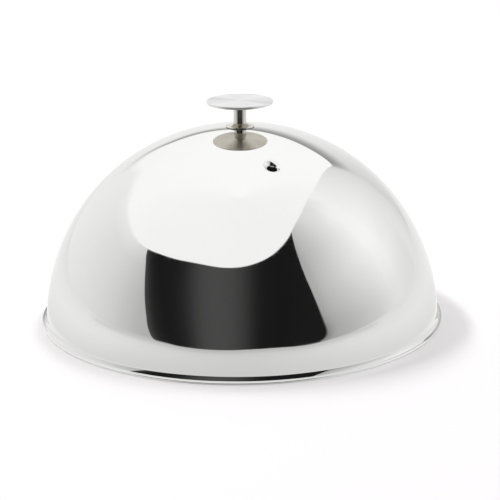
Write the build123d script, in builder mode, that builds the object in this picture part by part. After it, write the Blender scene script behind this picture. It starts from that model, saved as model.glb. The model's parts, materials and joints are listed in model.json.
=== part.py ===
"""Cooking dome: a spun steel shell with a bolted-on disc knob, in millimetres, +Z up."""

import os
from math import acos, atan2, cos, degrees, radians, sin, sqrt, tan

from build123d import *

os.makedirs("parts", exist_ok=True)

# Spherical shell
dome_radius = 150.0
dome_drop = 2.5
sheet = 0.8

# Flared brim with a flat ledge, its edge folded flat underneath
brim_reach = 3.6
flare_radius = 8.4
flare_angle = 34.0
brim_corner = 0.3
hem_return = 3.2
hem_edge_round = 0.3

# Flat land pressed into the crown for the knob
land_radius = 12.0
land_round = 6.0

# Steam vent with its lip drawn inward
vent_polar = 26.05
vent_azimuth = 20.5
vent_hole_radius = 3.2
vent_bend = 6.5
vent_slope = 57.0

# Threaded stud that holds the knob together
stud_radius = 2.5
stud_flange_radius = 3.25
stud_flange_height = 1.0
stud_end_chamfer = 0.5
stud_passage = 0.25
thread_clearance = 0.05

# Seal under the knob foot
gasket_radius = 10.4
gasket_height = 0.3

# Turned knob stem with a cone-shaped foot on a thin flange
foot_radius = 10.9
foot_rim = 0.5
foot_edge_round = 0.2
cone_radius = 8.5
cone_rise = 2.2
stem_radius = 4.9
stem_cove = 0.8
stem_length = 17.7

# Knob disc
disc_radius = 25.0
disc_height = 2.0
disc_edge_round = 0.4

# Washers inside the dome
inner_washer_radius = 7.5
inner_washer_height = 1.2
inner_washer_round = 0.2
lock_washer_radius = 4.6
lock_washer_height = 1.2
lock_split_width = 0.9
lock_split_slant = 20.0
lock_split_reach = 4.8

# Cap nut inside the dome
nut_sides = 6
nut_flats = 8.0
nut_hex_height = 4.0
nut_cap_radius = 3.75
nut_height = 10.0
nut_thread_depth = 7.5
nut_corner_angle = 30.0
stud_tip_gap = 0.8

# Levels along the axis, from the crown land upward and downward
dome_centre = Vector(0, 0, -dome_drop)
land_z = sqrt(dome_radius**2 - land_radius**2) - dome_drop
foot_z = land_z + gasket_height
disc_z = foot_z + stem_length
inner_land_z = land_z - sheet
lock_z = inner_land_z - inner_washer_height
nut_z = lock_z - lock_washer_height
nut_tip_z = nut_z - nut_height
stud_tip_z = nut_z - nut_thread_depth + stud_tip_gap
stud_hole_radius = stud_radius + stud_passage
thread_hole_radius = stud_radius + thread_clearance

# Radii and levels of the brim
inner_radius = dome_radius - sheet
brim_radius = dome_radius + brim_reach
brim_top = 2 * sheet
flare_inset = flare_radius - brim_corner
corner_z = brim_top + brim_corner
flare_z = corner_z + flare_inset * sin(radians(flare_angle))
flare_r = sqrt((dome_radius + flare_radius) ** 2 - (flare_z + dome_drop) ** 2)
flare_start = degrees(atan2(flare_z + dome_drop, flare_r))
corner_r = flare_r - flare_inset * cos(radians(flare_angle))
inner_flare = flare_radius + sheet
hem_r = brim_radius - hem_return
hem_angle = degrees(acos((flare_r - hem_r) / inner_flare))

# Direction of the vent and the bend of its lip, measured from the dome's centre
vent_lean = radians(vent_polar)
vent_turn = radians(vent_azimuth)
vent_axis = Vector(
    sin(vent_lean) * sin(vent_turn),
    -sin(vent_lean) * cos(vent_turn),
    cos(vent_lean),
)
vent_across = Vector(cos(vent_turn), sin(vent_turn), 0)
vent_bend_u = vent_hole_radius + vent_bend * sin(radians(vent_slope))
vent_bend_w = sqrt((dome_radius - vent_bend) ** 2 - vent_bend_u**2)
vent_inner_bend = vent_bend - sheet


def on_circle(centre, radius, angle):
    """Give the point at an angle in degrees on a circle of a section sketch."""
    turn = radians(angle)
    return (centre[0] + radius * cos(turn), centre[1] + radius * sin(turn))


# Dome shell: one spun sheet with land, hole, brim and hem
with BuildPart() as dome_shell:
    sphere_middle = (0, -dome_drop)
    flare_middle = (flare_r, flare_z)
    corner_middle = (corner_r, corner_z)
    edge_middle = (brim_radius - sheet, sheet)
    crown_angle = degrees(acos(land_radius / dome_radius))
    inner_land_r = sqrt(inner_radius**2 - (inner_land_z + dome_drop) ** 2)
    inner_crown_angle = degrees(acos(inner_land_r / inner_radius))
    outer_mid = on_circle(sphere_middle, dome_radius, (crown_angle + flare_start) / 2)
    inner_mid = on_circle(sphere_middle, inner_radius, (inner_crown_angle + flare_start) / 2)
    outer_foot = on_circle(sphere_middle, dome_radius, flare_start)
    inner_foot = on_circle(sphere_middle, inner_radius, flare_start)
    flare_mid = on_circle(flare_middle, flare_radius, 180 + (flare_start + flare_angle) / 2)
    flare_end = on_circle(flare_middle, flare_radius, 180 + flare_angle)
    corner_mid = on_circle(corner_middle, brim_corner, (180 + flare_angle + 270) / 2)
    corner_end = (corner_r, brim_top)
    bend_mid = on_circle(flare_middle, inner_flare, 180 + (flare_start + hem_angle) / 2)
    bend_end = on_circle(flare_middle, inner_flare, 180 + hem_angle)
    with BuildSketch(Plane.XZ) as shell_section:
        with BuildLine() as shell_outline:
            Line((stud_hole_radius, land_z), (land_radius, land_z))
            ThreePointArc((land_radius, land_z), outer_mid, outer_foot)
            ThreePointArc(outer_foot, flare_mid, flare_end)
            ThreePointArc(flare_end, corner_mid, corner_end)
            Line(corner_end, (edge_middle[0], brim_top))
            ThreePointArc((edge_middle[0], brim_top), (brim_radius, sheet), (edge_middle[0], 0))
            Line((edge_middle[0], 0), (hem_r, 0))
            Line((hem_r, 0), bend_end)
            ThreePointArc(bend_end, bend_mid, inner_foot)
            ThreePointArc(inner_foot, inner_mid, (inner_land_r, inner_land_z))
            Line((inner_land_r, inner_land_z), (stud_hole_radius, inner_land_z))
            Line((stud_hole_radius, inner_land_z), (stud_hole_radius, land_z))
        make_face()
        hem_corner = shell_section.vertices().sort_by_distance((hem_r, 0, 0))[0]
        fillet(hem_corner, hem_edge_round)
        land_corner = shell_section.vertices().sort_by_distance((land_radius, land_z, 0))[0]
        fillet(land_corner, land_round)
        inner_corner = shell_section.vertices().sort_by_distance((inner_land_r, inner_land_z, 0))[0]
        fillet(inner_corner, land_round - sheet)
    revolve(axis=Axis.Z)

    # Steam vent: a cone is cut out and the drawn lip takes its place
    vent_plane = Plane(
        origin=dome_centre, x_dir=vent_across, z_dir=vent_across.cross(vent_axis)
    )
    vent_line = Axis(dome_centre, vent_axis)
    cut_w = dome_radius + vent_bend
    cut_u = cut_w * vent_bend_u / vent_bend_w
    with BuildSketch(vent_plane) as vent_cut:
        Polygon((0, 0), (cut_u, cut_w), (0, cut_w), align=None)
    revolve(axis=vent_line, mode=Mode.SUBTRACT)
    lip_middle = (vent_bend_u, vent_bend_w)
    lip_start = degrees(atan2(vent_bend_w, vent_bend_u))
    lip_end = 90 + vent_slope
    lip_half = (lip_start + lip_end) / 2
    lip_outer = on_circle(lip_middle, vent_bend, lip_start)
    lip_inner = on_circle(lip_middle, vent_inner_bend, lip_start)
    lip_outer_mid = on_circle(lip_middle, vent_bend, lip_half)
    lip_inner_mid = on_circle(lip_middle, vent_inner_bend, lip_half)
    lip_outer_end = on_circle(lip_middle, vent_bend, lip_end)
    lip_inner_end = on_circle(lip_middle, vent_inner_bend, lip_end)
    with BuildSketch(vent_plane) as vent_section:
        with BuildLine() as vent_outline:
            ThreePointArc(lip_outer, lip_outer_mid, lip_outer_end)
            Line(lip_outer_end, lip_inner_end)
            ThreePointArc(lip_inner_end, lip_inner_mid, lip_inner)
            Line(lip_inner, lip_outer)
        make_face()
    revolve(axis=vent_line)
dome_shell.part.label = "dome_shell"
export_step(dome_shell.part, "parts/dome_shell.step")

# Seal ring between the crown land and the knob foot
with BuildPart() as foot_gasket:
    with BuildSketch(Plane.XY.offset(land_z)):
        Circle(gasket_radius)
        Circle(stud_hole_radius, mode=Mode.SUBTRACT)
    extrude(amount=gasket_height)
foot_gasket.part.label = "foot_gasket"
export_step(foot_gasket.part, "parts/foot_gasket.step")

# Knob stem: a turned tube with a cone, a foot flange and a recess for the stud's flange
with BuildPart() as knob_stem:
    rim_z = foot_z + foot_rim
    cone_z = rim_z + cone_rise
    recess_radius = stud_flange_radius + stud_passage
    recess_z = disc_z - stud_flange_height - stud_passage
    with BuildSketch(Plane.XZ) as stem_section:
        with BuildLine() as stem_outline:
            Polyline(
                (stud_hole_radius, foot_z),
                (foot_radius, foot_z),
                (foot_radius, rim_z),
                (cone_radius, rim_z),
                (stem_radius, cone_z),
                (stem_radius, disc_z),
                (recess_radius, disc_z),
                (recess_radius, recess_z),
                (stud_hole_radius, recess_z),
                close=True,
            )
        make_face()
        cove_corner = stem_section.vertices().sort_by_distance((stem_radius, cone_z, 0))[0]
        fillet(cove_corner, stem_cove)
        rim_corner = stem_section.vertices().sort_by_distance((foot_radius, rim_z, 0))[0]
        fillet(rim_corner, foot_edge_round)
    revolve(axis=Axis.Z)
knob_stem.part.label = "knob_stem"
export_step(knob_stem.part, "parts/knob_stem.step")

# Knob disc: a plain round plate with eased edges
with BuildPart() as knob_disc:
    with BuildSketch(Plane.XY.offset(disc_z)):
        Circle(disc_radius)
    extrude(amount=disc_height)
    fillet(knob_disc.edges().filter_by(GeomType.CIRCLE), disc_edge_round)
knob_disc.part.label = "knob_disc"
export_step(knob_disc.part, "parts/knob_disc.step")

# Stud welded under the disc, through stem, gasket and shell into the cap nut
with BuildPart() as knob_stud:
    with BuildSketch(Plane.XY.offset(disc_z)):
        Circle(stud_flange_radius)
    extrude(amount=-stud_flange_height)
    with BuildSketch(Plane.XY.offset(disc_z - stud_flange_height)):
        Circle(stud_radius)
    extrude(amount=stud_tip_z - disc_z + stud_flange_height)
    chamfer(knob_stud.edges().sort_by(Axis.Z)[0], stud_end_chamfer)
knob_stud.part.label = "knob_stud"
export_step(knob_stud.part, "parts/knob_stud.step")

# Wide washer under the crown
with BuildPart() as inner_washer:
    with BuildSketch(Plane.XY.offset(lock_z)):
        Circle(inner_washer_radius)
        Circle(stud_hole_radius, mode=Mode.SUBTRACT)
    extrude(amount=inner_washer_height)
    fillet(inner_washer.edges().group_by(Axis.Z)[0].sort_by(SortBy.RADIUS)[-1], inner_washer_round)
inner_washer.part.label = "inner_washer"
export_step(inner_washer.part, "parts/inner_washer.step")

# Split lock washer, pressed flat by the nut
with BuildPart() as lock_washer:
    with BuildSketch(Plane.XY.offset(nut_z)):
        Circle(lock_washer_radius)
        Circle(thread_hole_radius, mode=Mode.SUBTRACT)
    extrude(amount=lock_washer_height)
    split_middle = (lock_washer_radius, 0, nut_z + lock_washer_height / 2)
    with Locations(Location(split_middle, (lock_split_slant, 0, 0))):
        Box(2 * lock_washer_radius, lock_split_width, lock_split_reach, mode=Mode.SUBTRACT)
lock_washer.part.label = "lock_washer"
export_step(lock_washer.part, "parts/lock_washer.step")

# Cap nut: a hexagon with turned corners and a closed round cap
with BuildPart() as cap_nut:
    corner_radius = nut_flats / sqrt(3)
    corner_fall = (corner_radius - nut_flats / 2) * tan(radians(nut_corner_angle))
    cap_start_z = nut_tip_z + nut_cap_radius
    with BuildSketch(Plane.XY.offset(nut_z)):
        RegularPolygon(nut_flats / 2, nut_sides, major_radius=False)
    extrude(amount=-nut_hex_height)
    with BuildSketch(Plane.XZ) as corner_section:
        Polygon(
            (0, nut_z),
            (nut_flats / 2, nut_z),
            (corner_radius, nut_z - corner_fall),
            (corner_radius, nut_z - nut_hex_height + corner_fall),
            (nut_flats / 2, nut_z - nut_hex_height),
            (0, nut_z - nut_hex_height),
            align=None,
        )
    revolve(axis=Axis.Z, mode=Mode.INTERSECT)
    with BuildSketch(Plane.XZ) as cap_section:
        with BuildLine() as cap_outline:
            Line((0, nut_z - nut_hex_height), (nut_cap_radius, nut_z - nut_hex_height))
            Line((nut_cap_radius, nut_z - nut_hex_height), (nut_cap_radius, cap_start_z))
            CenterArc((0, cap_start_z), nut_cap_radius, 0, -90)
            Line((0, nut_tip_z), (0, nut_z - nut_hex_height))
        make_face()
    revolve(axis=Axis.Z)
    with BuildSketch(Plane.XY.offset(nut_z)):
        Circle(thread_hole_radius)
    extrude(amount=-nut_thread_depth, mode=Mode.SUBTRACT)
cap_nut.part.label = "cap_nut"
export_step(cap_nut.part, "parts/cap_nut.step")
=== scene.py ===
"""Looks of a polished cooking dome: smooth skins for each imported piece, their finishes and a light tent."""

import json
import logging
import math
from collections.abc import Sequence
from dataclasses import dataclass, field
from enum import Enum
from typing import Any

import bpy
import numpy as np
from mathutils import Matrix, Vector

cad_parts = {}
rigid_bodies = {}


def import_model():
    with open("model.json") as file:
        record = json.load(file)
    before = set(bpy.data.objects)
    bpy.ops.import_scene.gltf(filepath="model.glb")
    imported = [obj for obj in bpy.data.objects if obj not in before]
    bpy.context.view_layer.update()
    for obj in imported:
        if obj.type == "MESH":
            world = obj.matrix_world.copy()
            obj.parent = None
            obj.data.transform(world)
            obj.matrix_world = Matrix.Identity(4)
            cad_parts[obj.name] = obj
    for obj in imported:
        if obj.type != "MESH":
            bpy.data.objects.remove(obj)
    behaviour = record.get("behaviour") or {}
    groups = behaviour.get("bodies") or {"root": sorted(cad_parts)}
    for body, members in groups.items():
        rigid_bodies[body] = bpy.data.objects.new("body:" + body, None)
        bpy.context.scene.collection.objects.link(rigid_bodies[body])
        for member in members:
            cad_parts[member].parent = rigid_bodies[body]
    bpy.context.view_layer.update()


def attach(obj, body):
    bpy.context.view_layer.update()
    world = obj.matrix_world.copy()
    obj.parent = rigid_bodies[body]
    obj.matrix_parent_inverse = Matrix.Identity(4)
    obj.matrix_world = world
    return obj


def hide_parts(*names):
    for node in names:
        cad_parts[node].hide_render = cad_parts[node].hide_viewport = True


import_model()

LOG = logging.getLogger("cooking_dome")
MM = 0.001
BODY = "root"
UV_NAME = "turning"
AXIS_REACH = 1e-9
FULL_TURN = 2.0 * math.pi

Array = np.ndarray
Colour = tuple[float, float, float]
Place = tuple[float, float, float]
Span = tuple[float, float]
Plug = Any


class Slot(Enum):
    """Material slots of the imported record."""

    POLISHED = "polished_steel"
    TURNED = "turned_steel"
    SATIN = "satin_steel"
    FASTENER = "fastener_steel"
    SEAL = "seal_rubber"


class Shading(Enum):
    """How a skin's corner normals are found: from its formula, or from its faces with crisp edges."""

    EXACT = "exact"
    CRISP = "crisp"


class Curve:
    """Smooth curve through dots of place and value, on a chart that runs from 0 to a highest value."""

    def __init__(self, *dots: tuple[float, float], most: float) -> None:
        """Keep the dots in order, and the chart's highest value."""
        self.dots = dots
        self.most = most


@dataclass(frozen=True)
class Section:
    """Outline in a plane of (reach, height) in millimetres, walked with the open air on its left.

    Attributes:
        points: Outline points, one row each.
        lead: Normal at the start of each step.
        tail: Normal at the end of each step.
    """

    points: Array
    lead: Array
    tail: Array

    @staticmethod
    def line(start: Sequence[float], end: Sequence[float], steps: int = 1) -> "Section":
        """Walk straight: start + t (end - start), with the direction turned left as its normal.

        Args:
            start: First point.
            end: Last point.
            steps: Number of steps.

        Returns:
            The straight run.
        """
        first, last = np.asarray(start, float), np.asarray(end, float)
        share = np.linspace(0.0, 1.0, steps + 1)[:, None]
        along = (last - first) / np.linalg.norm(last - first)
        normal = np.tile((-along[1], along[0]), (steps, 1))
        return Section(first + share * (last - first), normal, normal)

    @staticmethod
    def arc(centre: Sequence[float], radius: float, angles: Array) -> "Section":
        """Walk round: centre + radius (cos a, sin a); the normal points out where a falls, in where it rises.

        Args:
            centre: Middle of the arc.
            radius: Radius of the arc.
            angles: Angles of its points in degrees.

        Returns:
            The round run.
        """
        turn = np.radians(np.asarray(angles, float))
        radial = np.stack((np.cos(turn), np.sin(turn)), axis=1)
        normal = radial if turn[-1] < turn[0] else -radial
        return Section(np.asarray(centre, float) + radius * radial, normal[:-1], normal[1:])

    @staticmethod
    def joined(*runs: "Section") -> "Section":
        """Chain runs that meet end to end.

        Args:
            runs: The runs in walking order.

        Returns:
            One outline.
        """
        points = np.concatenate([runs[0].points[:1]] + [run.points[1:] for run in runs])
        lead = np.concatenate([run.lead for run in runs])
        tail = np.concatenate([run.tail for run in runs])
        return Section(points, lead, tail)

    @staticmethod
    def eased(corners: Sequence[Sequence[float]], closed: bool, steps: int = 6) -> "Section":
        """Walk a polygon whose corners give way to arcs that start R tan(turn / 2) from the corner.

        Args:
            corners: Reach, height and ease R of each corner.
            closed: Whether the last corner leads back to the first.
            steps: Number of steps in each arc.

        Returns:
            The outline, its first point repeated last where it is closed.
        """
        given = np.asarray(corners, float)
        spots, ease = given[:, :2], given[:, 2].copy()
        ahead = np.roll(spots, -1, axis=0) - spots
        ahead /= np.linalg.norm(ahead, axis=1, keepdims=True)
        behind = np.roll(ahead, 1, axis=0)
        cross = behind[:, 0] * ahead[:, 1] - behind[:, 1] * ahead[:, 0]
        turn = np.arctan2(cross, (behind * ahead).sum(axis=1))
        if not closed:
            ease[[0, -1]] = 0.0
        cut = (ease * np.tan(np.abs(turn) / 2.0))[:, None]
        starts, ends = spots - behind * cut, spots + ahead * cut
        left = np.stack((-behind[:, 1], behind[:, 0]), axis=1)
        middles = starts + left * (ease * np.sign(turn))[:, None]
        runs: list[Section] = []
        for spot in range(len(given)):
            if ease[spot] > 0.0:
                first = starts[spot] - middles[spot]
                base = math.atan2(first[1], first[0])
                angles = np.degrees(base + np.linspace(0.0, turn[spot], steps + 1))
                runs.append(Section.arc(middles[spot], ease[spot], angles))
            onward = (spot + 1) % len(given)
            if closed or onward:
                runs.append(Section.line(ends[spot], starts[onward]))
        return Section.joined(*runs)

    def lengths(self) -> Array:
        """Give each point's distance along the walk, in metres."""
        steps = np.linalg.norm(np.diff(self.points, axis=0), axis=1)
        return np.concatenate(([0.0], np.cumsum(steps))) * MM


@dataclass(frozen=True)
class Skin:
    """Surface of four-cornered cells over shared points.

    Attributes:
        points: Points in millimetres.
        corners: Four point numbers of each cell, a repeated one where the cell is a triangle.
        normals: Normal at each corner of each cell.
        spread: UV place of each corner of each cell.
    """

    points: Array
    corners: Array
    normals: Array
    spread: Array

    @staticmethod
    def over(points: Array, ids: Array, lead: Array, tail: Array, across: Array, along: Array) -> "Skin":
        """Cell (k, j) joins grid places (k, j), (k+1, j), (k+1, j+1) and (k, j+1), in that order.

        Args:
            points: All points.
            ids: Point number at each grid place.
            lead: Normals at the near end of each row step.
            tail: Normals at the far end of each row step.
            across: U of each column.
            along: V of each row.

        Returns:
            The skin.
        """
        corners = np.stack((ids[:-1, :-1], ids[1:, :-1], ids[1:, 1:], ids[:-1, 1:]), axis=-1)
        normals = np.stack((lead[:, :-1], tail[:, :-1], tail[:, 1:], lead[:, 1:]), axis=-2)
        uv = np.stack(np.broadcast_arrays(across[None, :], along[:, None]), axis=-1)
        spread = np.stack((uv[:-1, :-1], uv[1:, :-1], uv[1:, 1:], uv[:-1, 1:]), axis=-2)
        return Skin(points, corners.reshape(-1, 4), normals.reshape(-1, 4, 3), spread.reshape(-1, 4, 2))

    def only(self, keep: Array) -> "Skin":
        """Keep the cells that a mask names."""
        return Skin(self.points, self.corners[keep], self.normals[keep], self.spread[keep])

    def with_cells(self, other: "Skin") -> "Skin":
        """Add the cells of a skin whose points continue this one's.

        Args:
            other: Skin over this skin's points and more.

        Returns:
            Both skins as one.
        """
        return Skin(
            other.points,
            np.concatenate((self.corners, other.corners)),
            np.concatenate((self.normals, other.normals)),
            np.concatenate((self.spread, other.spread)),
        )

    def piece(self, name: str, shading: Shading, crisp_angle: float = 25.0) -> bpy.types.Object:
        """Put the skin into a mesh object at the origin.

        Args:
            name: Name of the piece.
            shading: Where its normals come from.
            crisp_angle: Turn in degrees from which an edge is crisp, where normals come from the faces.

        Returns:
            The linked object.
        """
        held = self.corners != np.roll(self.corners, 1, axis=1)
        used, loops = np.unique(self.corners[held], return_inverse=True)
        counts = held.sum(axis=1)
        mesh = bpy.data.meshes.new(name)
        mesh.vertices.add(len(used))
        mesh.vertices.foreach_set("co", (self.points[used] * MM).astype(np.float32).ravel())
        mesh.loops.add(len(loops))
        mesh.loops.foreach_set("vertex_index", loops.astype(np.int32).ravel())
        mesh.polygons.add(len(counts))
        mesh.polygons.foreach_set("loop_start", (np.cumsum(counts) - counts).astype(np.int32))
        mesh.polygons.foreach_set("use_smooth", np.ones(len(counts), bool))
        mesh.update(calc_edges=True)
        layer = mesh.uv_layers.new(name=UV_NAME)
        layer.data.foreach_set("uv", self.spread[held].astype(np.float32).ravel())
        if shading is Shading.EXACT:
            mesh.normals_split_custom_set(self.normals[held].tolist())
        else:
            mesh.set_sharp_from_angle(angle=math.radians(crisp_angle))
        made = bpy.data.objects.new(name, mesh)
        bpy.context.scene.collection.objects.link(made)
        return made


@dataclass(frozen=True)
class Turning:
    """Section turned about the upright axis: (reach cos a, reach sin a, height).

    Attributes:
        section: The outline to turn.
        columns: Number of columns round the axis.
        start: Angle of the first column in radians.
    """

    section: Section
    columns: int
    start: float = 0.0

    def angles(self) -> Array:
        """Give the angle of each column, the first one again at the end."""
        return self.start + np.linspace(0.0, FULL_TURN, self.columns + 1)

    def carried(self, pairs: Array) -> Array:
        """Turn rows of (reach, height) into rows of places or directions in space.

        Args:
            pairs: One pair for each row.

        Returns:
            Array of rows, columns and three coordinates.
        """
        reach, height = pairs[:, :1], pairs[:, 1:]
        turn = self.angles()[None, :]
        parts = np.broadcast_arrays(reach * np.cos(turn), reach * np.sin(turn), height)
        return np.stack(parts, axis=-1)

    def ids(self) -> Array:
        """Number the grid's points.

        The seam column and a closed outline's last row share the numbers of the first. A row on the axis is
        one point.

        Returns:
            Point number at each row and column.
        """
        outline = self.section.points
        numbers = np.arange(len(outline) * self.columns).reshape(len(outline), self.columns)
        numbers = np.where(outline[:, :1] < AXIS_REACH, numbers[:, :1], numbers)
        if np.allclose(outline[0], outline[-1]):
            numbers[-1] = numbers[0]
        return np.concatenate((numbers, numbers[:, :1]), axis=1)

    def skin(self) -> Skin:
        """Turn the outline into a skin with its exact normals.

        Returns:
            The turned skin.
        """
        section = self.section
        points = self.carried(section.points)[:, :-1].reshape(-1, 3)
        across = np.linspace(0.0, 1.0, self.columns + 1)
        lead, tail = self.carried(section.lead), self.carried(section.tail)
        return Skin.over(points, self.ids(), lead, tail, across, section.lengths())


class Wiring:
    """Adds nodes to a node tree and joins them."""

    def __init__(self, tree: bpy.types.NodeTree) -> None:
        """Take the tree to work on."""
        self.tree = tree

    def add(self, kind: str, plugs: dict[Any, Plug] | None = None, **settings: Any) -> bpy.types.Node:
        """Add a node.

        Args:
            kind: Node type.
            plugs: Sockets or values for its inputs, by name or number.
            settings: Values of its own properties.

        Returns:
            The node.
        """
        node = self.tree.nodes.new(kind)
        for key, value in settings.items():
            setattr(node, key, value)
        for key, plug in (plugs or {}).items():
            self.feed(node.inputs[key], plug)
        return node

    def feed(self, socket: bpy.types.NodeSocket, plug: Plug) -> None:
        """Join a socket to an input, or set the input's own value.

        Args:
            socket: The input.
            plug: A socket or a value.
        """
        if isinstance(plug, bpy.types.NodeSocket):
            self.tree.links.new(plug, socket)
        else:
            socket.default_value = plug

    def math(self, operation: str, *plugs: Plug) -> bpy.types.NodeSocket:
        """Give the result of a sum."""
        return self.add("ShaderNodeMath", dict(enumerate(plugs)), operation=operation).outputs[0]

    def ramp(self, value: Plug, low: float, high: float) -> bpy.types.NodeSocket:
        """Rise smoothly from 0 at low to 1 at high."""
        plugs = {"Value": value, "From Min": low, "From Max": high}
        return self.add("ShaderNodeMapRange", plugs, interpolation_type="SMOOTHSTEP").outputs[0]

    def scaled(self, value: Plug, least: Plug, most: Plug) -> bpy.types.NodeSocket:
        """Stretch 0 to 1 over least to most."""
        return self.add("ShaderNodeMapRange", {"Value": value, "To Min": least, "To Max": most}).outputs[0]

    def blend(self, share: Plug, first: Plug, second: Plug) -> bpy.types.NodeSocket:
        """Blend two numbers."""
        node = self.add("ShaderNodeMix", {0: share, 2: first, 3: second}, data_type="FLOAT")
        return node.outputs[0]

    def tint(self, share: Plug, first: Colour, second: Colour) -> bpy.types.NodeSocket:
        """Blend two colours."""
        node = self.add("ShaderNodeMix", {0: share, 6: (*first, 1.0), 7: (*second, 1.0)}, data_type="RGBA")
        return node.outputs[2]

    def curve(self, value: Plug, curve: Curve) -> bpy.types.NodeSocket:
        """Read a smooth curve, level before its first dot and after its last.

        Args:
            value: Place along the curve.
            curve: The curve to read.

        Returns:
            The curve's value.
        """
        first, last = curve.dots[0][0], curve.dots[-1][0]
        place = self.math("DIVIDE", self.math("SUBTRACT", value, first), last - first)
        node = self.add("ShaderNodeFloatCurve", {"Value": place})
        line = node.mapping.curves[0]
        marks = [((spot - first) / (last - first), height / curve.most) for spot, height in curve.dots]
        line.points[0].location, line.points[-1].location = marks[0], marks[-1]
        for mark in marks[1:-1]:
            line.points.new(*mark)
        node.mapping.extend = "HORIZONTAL"
        node.mapping.update()
        return self.math("MULTIPLY", node.outputs[0], curve.most)


class Effects:
    """Shader groups that several finishes share."""

    cloud_detail: float = 4.0
    cloud_roughness: float = 0.6
    cloud_span: Span = (0.34, 0.7)
    speck_finer: float = 14.0
    speck_detail: float = 2.0
    speck_span: Span = (0.4, 0.72)
    line_detail: float = 3.0
    line_span: Span = (0.25, 0.75)
    band_share: float = 0.06
    band_detail: float = 2.0
    band_span: Span = (0.3, 0.7)

    def __init__(self) -> None:
        """Build each group once."""
        self.haze = self.build_haze()
        self.lines = self.build_lines()

    @staticmethod
    def group(name: str, takes: Sequence[tuple[str, str]], gives: Sequence[str]) -> bpy.types.NodeTree:
        """Start a group.

        Args:
            name: Name of the group.
            takes: Name and socket type of each input.
            gives: Name of each output number.

        Returns:
            The group's tree.
        """
        tree = bpy.data.node_groups.new(name, "ShaderNodeTree")
        for title, kind in takes:
            tree.interface.new_socket(title, in_out="INPUT", socket_type=kind)
        for title in gives:
            tree.interface.new_socket(title, in_out="OUTPUT", socket_type="NodeSocketFloat")
        return tree

    def build_haze(self) -> bpy.types.NodeTree:
        """Cloudy handling marks: soft noise stretched to run from 0 to 1, and a finer one on top.

        Returns:
            The group's tree.
        """
        takes = (("Vector", "NodeSocketVector"), ("Scale", "NodeSocketFloat"))
        tree = self.group("handling_haze", takes, ("Cloud", "Speck"))
        wires = Wiring(tree)
        source = wires.add("NodeGroupInput").outputs
        soft = {"Detail": self.cloud_detail, "Roughness": self.cloud_roughness}
        cloud = wires.add("ShaderNodeTexNoise", {"Vector": source[0], "Scale": source[1], **soft}).outputs[0]
        finer = wires.math("MULTIPLY", source[1], self.speck_finer)
        fine = {"Vector": source[0], "Scale": finer, "Detail": self.speck_detail}
        speck = wires.add("ShaderNodeTexNoise", fine).outputs[0]
        given = {0: wires.ramp(cloud, *self.cloud_span), 1: wires.ramp(speck, *self.speck_span)}
        wires.add("NodeGroupOutput", given)
        return tree

    def build_lines(self) -> bpy.types.NodeTree:
        """Tool lines of turned metal: one-way noise across the lines, fine ones and broad bands.

        Returns:
            The group's tree.
        """
        takes = (("Across", "NodeSocketFloat"), ("Lines per Metre", "NodeSocketFloat"))
        tree = self.group("turned_lines", takes, ("Line", "Band"))
        wires = Wiring(tree)
        source = wires.add("NodeGroupInput").outputs
        place = wires.math("MULTIPLY", source[0], source[1])
        plugs = {"W": place, "Detail": self.line_detail}
        line = wires.add("ShaderNodeTexNoise", plugs, noise_dimensions="1D").outputs[0]
        plugs = {"W": wires.math("MULTIPLY", place, self.band_share), "Detail": self.band_detail}
        band = wires.add("ShaderNodeTexNoise", plugs, noise_dimensions="1D").outputs[0]
        given = {0: wires.ramp(line, *self.line_span), 1: wires.ramp(band, *self.band_span)}
        wires.add("NodeGroupOutput", given)
        return tree


class Bench:
    """A new material with its shader, its object coordinates and the shared effects at hand."""

    def __init__(self, slot: Slot, effects: Effects) -> None:
        """Start the material of a slot.

        Args:
            slot: The slot.
            effects: Shared shader groups.
        """
        self.material = bpy.data.materials.new(slot.value)
        self.material.use_nodes = True
        tree = self.material.node_tree
        self.wires = Wiring(tree)
        self.shader = tree.nodes["Principled BSDF"]
        self.place = self.wires.add("ShaderNodeTexCoord").outputs["Object"]
        self.effects = effects

    def haze(self, scale: float) -> tuple[bpy.types.NodeSocket, bpy.types.NodeSocket]:
        """Give the cloud and speck of the handling haze.

        Args:
            scale: Clouds per metre.

        Returns:
            The cloud and the speck, each from 0 to 1.
        """
        plugs = {"Vector": self.place, "Scale": scale}
        node = self.wires.add("ShaderNodeGroup", plugs, node_tree=self.effects.haze)
        return node.outputs[0], node.outputs[1]

    def lines(self, across: Plug, density: float) -> tuple[bpy.types.NodeSocket, bpy.types.NodeSocket]:
        """Give the fine lines and broad bands of turned metal.

        Args:
            across: Place across the lines, in metres.
            density: Lines per metre.

        Returns:
            The lines and the bands, each from 0 to 1.
        """
        plugs = {"Across": across, "Lines per Metre": density}
        node = self.wires.add("ShaderNodeGroup", plugs, node_tree=self.effects.lines)
        return node.outputs[0], node.outputs[1]

    def reach_and_height(self) -> tuple[bpy.types.NodeSocket, bpy.types.NodeSocket]:
        """Tell where the shaded point is.

        Returns:
            The distance from the upright axis and the height, in metres.
        """
        parts = self.wires.add("ShaderNodeSeparateXYZ", {0: self.place}).outputs
        across = self.wires.math("POWER", parts[0], 2.0)
        deep = self.wires.math("POWER", parts[1], 2.0)
        return self.wires.math("SQRT", self.wires.math("ADD", across, deep)), parts[2]

    def bump(self, height: Plug, depth: float) -> None:
        """Raise the surface by a height of 0 to 1 times a depth in metres."""
        plugs = {"Height": height, "Distance": depth, "Strength": 1.0}
        self.wires.feed(self.shader.inputs["Normal"], self.wires.add("ShaderNodeBump", plugs).outputs[0])

    def finish(self, colour: Plug, roughness: Plug, metallic: float) -> bpy.types.Material:
        """Join the main inputs of the shader.

        Args:
            colour: Base colour.
            roughness: Roughness.
            metallic: Share of metal.

        Returns:
            The material.
        """
        self.wires.feed(self.shader.inputs["Base Color"], colour)
        self.wires.feed(self.shader.inputs["Roughness"], roughness)
        self.shader.inputs["Metallic"].default_value = metallic
        return self.material


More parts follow.
